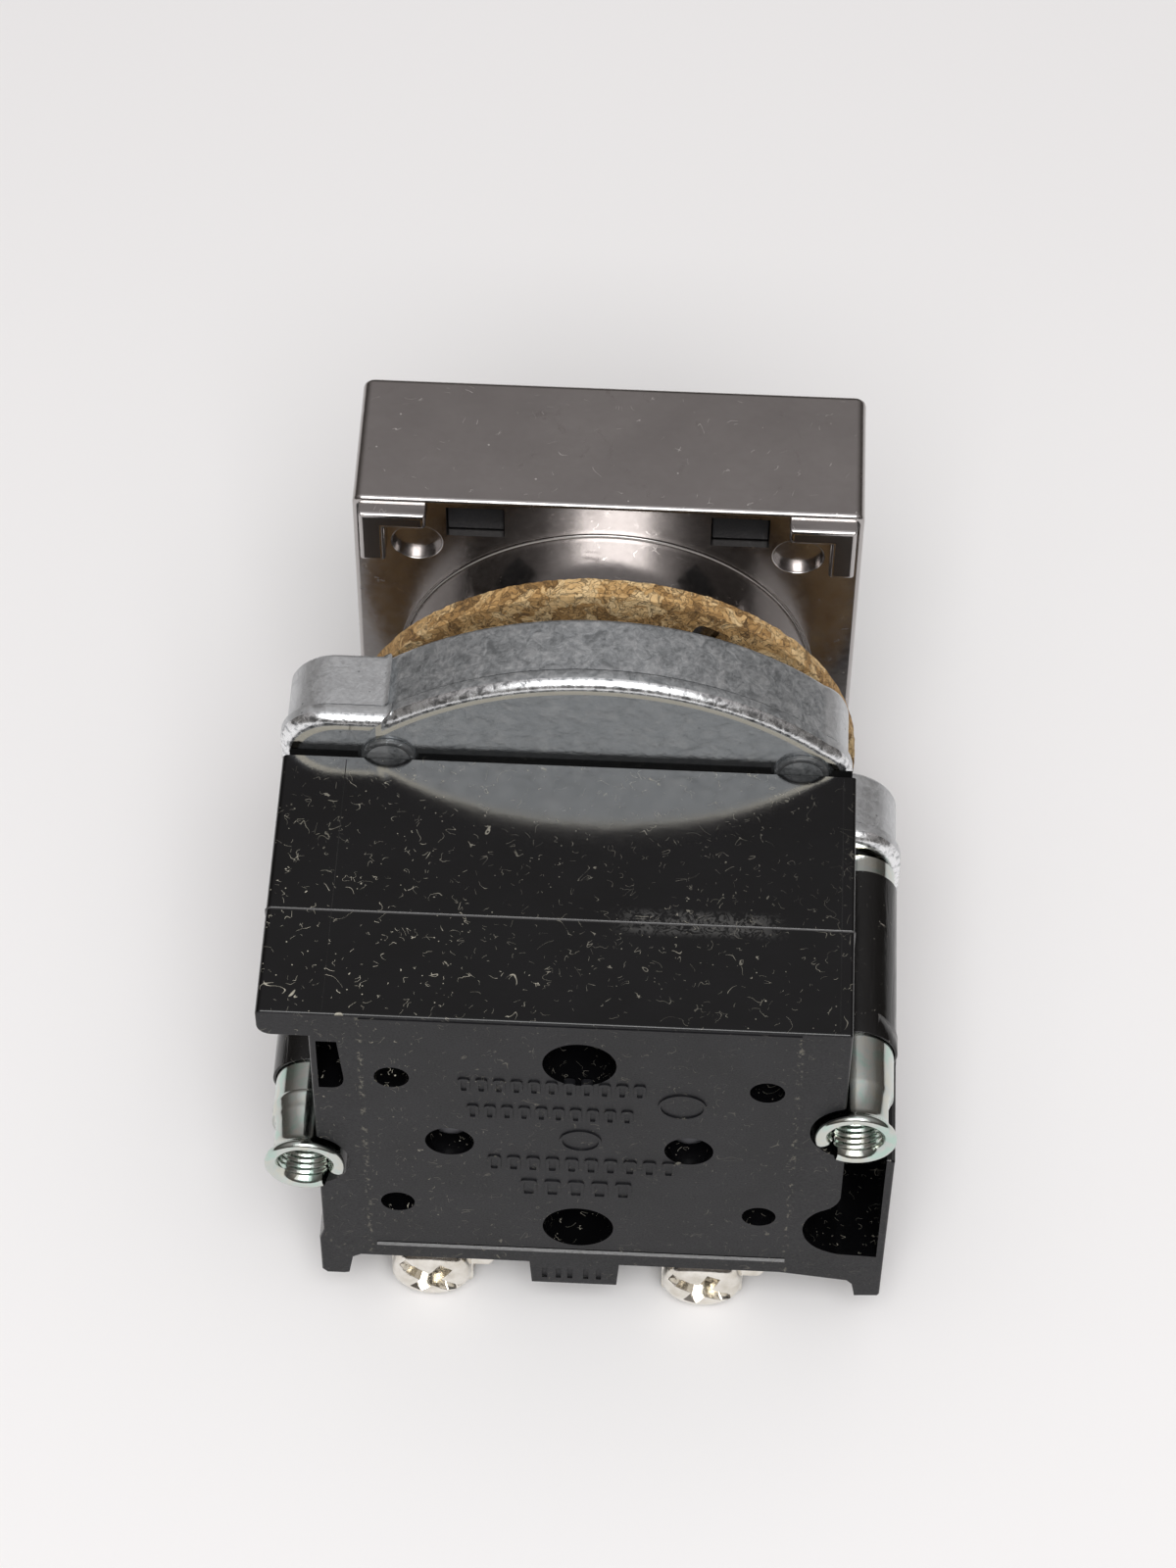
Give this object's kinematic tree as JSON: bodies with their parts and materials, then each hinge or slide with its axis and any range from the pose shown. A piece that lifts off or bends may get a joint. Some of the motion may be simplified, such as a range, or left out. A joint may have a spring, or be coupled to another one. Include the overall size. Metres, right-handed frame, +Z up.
{
  "type": "panel pushbutton with contact block",
  "caption": "Square-bezel pushbutton operator for a 30.5 mm panel hole, with cork gasket, cast clamp flange and a black contact block with screw terminals.",
  "frame": {"origin": "on the supporting plane, below the middle of the whole box; the device's own axis runs 28.5 mm above it", "axes": "+Y from the contact block to the button's face, along the device's axis; +Z up, the side without terminals; +X to the right as seen from behind"},
  "size_m": [0.053, 0.0686, 0.057],
  "materials": {
    "black_chrome": "satin black chrome on a die casting, slightly brown, small pits and scratches",
    "zinc": "dull blue-grey zinc die casting with a mottled cast skin; a bright worn edge on the lip",
    "steel": "bright zinc-plated steel",
    "nickel": "bright nickel plate",
    "brass": "plain brass strip",
    "copper": "bare copper alloy",
    "cork": "granulated cork sheet, tan with darker grains",
    "black_plastic": "black phenolic moulding: glossy top, semi-matte end face",
    "grey_plastic": "dark grey moulded plastic",
    "sleeve_plastic": "glossy black insulating sleeve",
    "rubber": "black nitrile rubber",
    "button_plastic": "plain green moulded plastic"
  },
  "bodies": {
    "root": {"bezel_housing": "black_chrome", "front_frame": "black_plastic", "return_spring": "steel", "mounting_hub": "zinc", "stem_seal": "rubber", "seal_washer": "steel", "cork_gasket": "cork", "block_gasket": "black_plastic", "front_housing": "black_plastic", "rear_housing": "black_plastic", "housing_pin_upper_left": "steel", "housing_pin_upper_right": "steel", "housing_pin_lower_left": "steel", "housing_pin_lower_right": "steel", "bridge_spring_left": "steel", "plunger_spring_left": "steel", "guide_tube_left": "steel", "insulating_sleeve_left": "sleeve_plastic", "bridge_spring_right": "steel", "plunger_spring_right": "steel", "guide_tube_right": "steel", "insulating_sleeve_right": "sleeve_plastic", "block_screw_upper": "steel", "block_screw_lower": "steel", "terminal_strip_left_front": "brass", "pressure_plate_left_front": "nickel", "terminal_screw_left_front": "nickel", "terminal_strip_left_rear": "brass", "pressure_plate_left_rear": "nickel", "terminal_screw_left_rear": "nickel", "terminal_strip_right_front": "brass", "pressure_plate_right_front": "nickel", "terminal_screw_right_front": "nickel", "terminal_strip_right_rear": "brass", "pressure_plate_right_rear": "nickel", "terminal_screw_right_rear": "nickel"},
    "button": {"button_cap": "button_plastic", "button_carrier": "grey_plastic", "pusher_plate": "steel", "stem_clip": "steel"},
    "flange": {"clamp_flange": "zinc", "flange_rivet_upper_left": "steel", "flange_rivet_upper_right": "steel", "flange_rivet_lower_left": "steel", "flange_rivet_lower_right": "steel", "clamp_screw_left": "steel", "clamp_screw_right": "steel"},
    "plunger_left": {"plunger_left": "grey_plastic"},
    "plunger_right": {"plunger_right": "grey_plastic"},
    "bridge_left": {"contact_bridge_left": "copper"},
    "bridge_right": {"contact_bridge_right": "copper"}
  },
  "joints": [
    {"name": "button_press", "type": "slide", "parent": "root", "child": "button", "axis": [0, -1, 0], "range_m": [0, 0.004], "stiffness_N_per_m": 900, "springref_m": -0.003, "deforming": ["return_spring", "plunger_spring_left", "plunger_spring_right"]},
    {"name": "plunger_left_slide", "type": "slide", "parent": "root", "child": "plunger_left", "axis": [0, -1, 0], "range_m": [0, 0.004]},
    {"name": "plunger_right_slide", "type": "slide", "parent": "root", "child": "plunger_right", "axis": [0, -1, 0], "range_m": [0, 0.004]},
    {"name": "bridge_left_slide", "type": "slide", "parent": "root", "child": "bridge_left", "axis": [0, -1, 0], "range_m": [0, 0.002], "deforming": ["bridge_spring_left"]},
    {"name": "bridge_right_slide", "type": "slide", "parent": "root", "child": "bridge_right", "axis": [0, -1, 0], "range_m": [0, 0.002], "deforming": ["bridge_spring_right"]},
    {"name": "flange_clamp", "type": "slide", "parent": "root", "child": "flange", "axis": [0, 1, 0], "range_m": [0, 0.006]}
  ],
  "couplings": [
    {"joint": "plunger_left_slide", "follows": "button_press", "ratio": 1},
    {"joint": "plunger_right_slide", "follows": "button_press", "ratio": 1},
    {"joint": "bridge_left_slide", "follows": "button_press", "ratio": 0.5},
    {"joint": "bridge_right_slide", "follows": "button_press", "ratio": 0.5}
  ]
}
